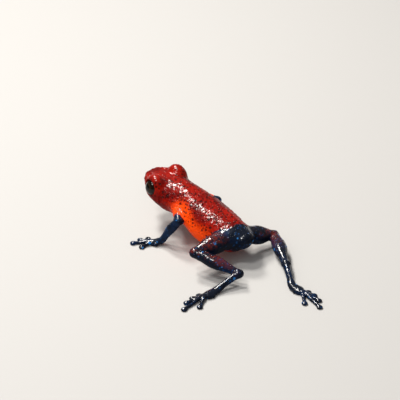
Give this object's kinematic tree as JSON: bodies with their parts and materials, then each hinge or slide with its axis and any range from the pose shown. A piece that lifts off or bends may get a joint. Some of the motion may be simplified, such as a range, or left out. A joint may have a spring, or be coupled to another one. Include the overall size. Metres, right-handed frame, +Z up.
{
  "type": "strawberry poison dart frog",
  "caption": "Small red frog with dark blue limbs, front raised on its forelegs and one hind leg trailing, as a still life-size model.",
  "frame": {"origin": "middle of the footprint of the whole frog, on the floor it stands on", "axes": "+Z up, -Y the way the body points from vent to snout, +X the frog's left side"},
  "size_m": [0.0232, 0.0356, 0.0084],
  "materials": {
    "red_skin": "wet granular skin, deep orange-red with small dark spots",
    "blue_skin": "wet granular skin, blue-black with blue flecks",
    "eye": "polished black with a dark brown ring"
  },
  "bodies": {
    "root": {"head": "red_skin", "torso": "red_skin", "eye_left": "eye", "eye_right": "eye", "upper_arm_left": "red_skin", "upper_arm_right": "red_skin", "forearm_left": "blue_skin", "forearm_right": "blue_skin", "hand_left": "blue_skin", "hand_right": "blue_skin", "thigh_left": "blue_skin", "thigh_right": "blue_skin", "shank_left": "blue_skin", "shank_right": "blue_skin", "tarsus_left": "blue_skin", "tarsus_right": "blue_skin", "foot_left": "blue_skin", "foot_right": "blue_skin"}
  },
  "joints": []
}
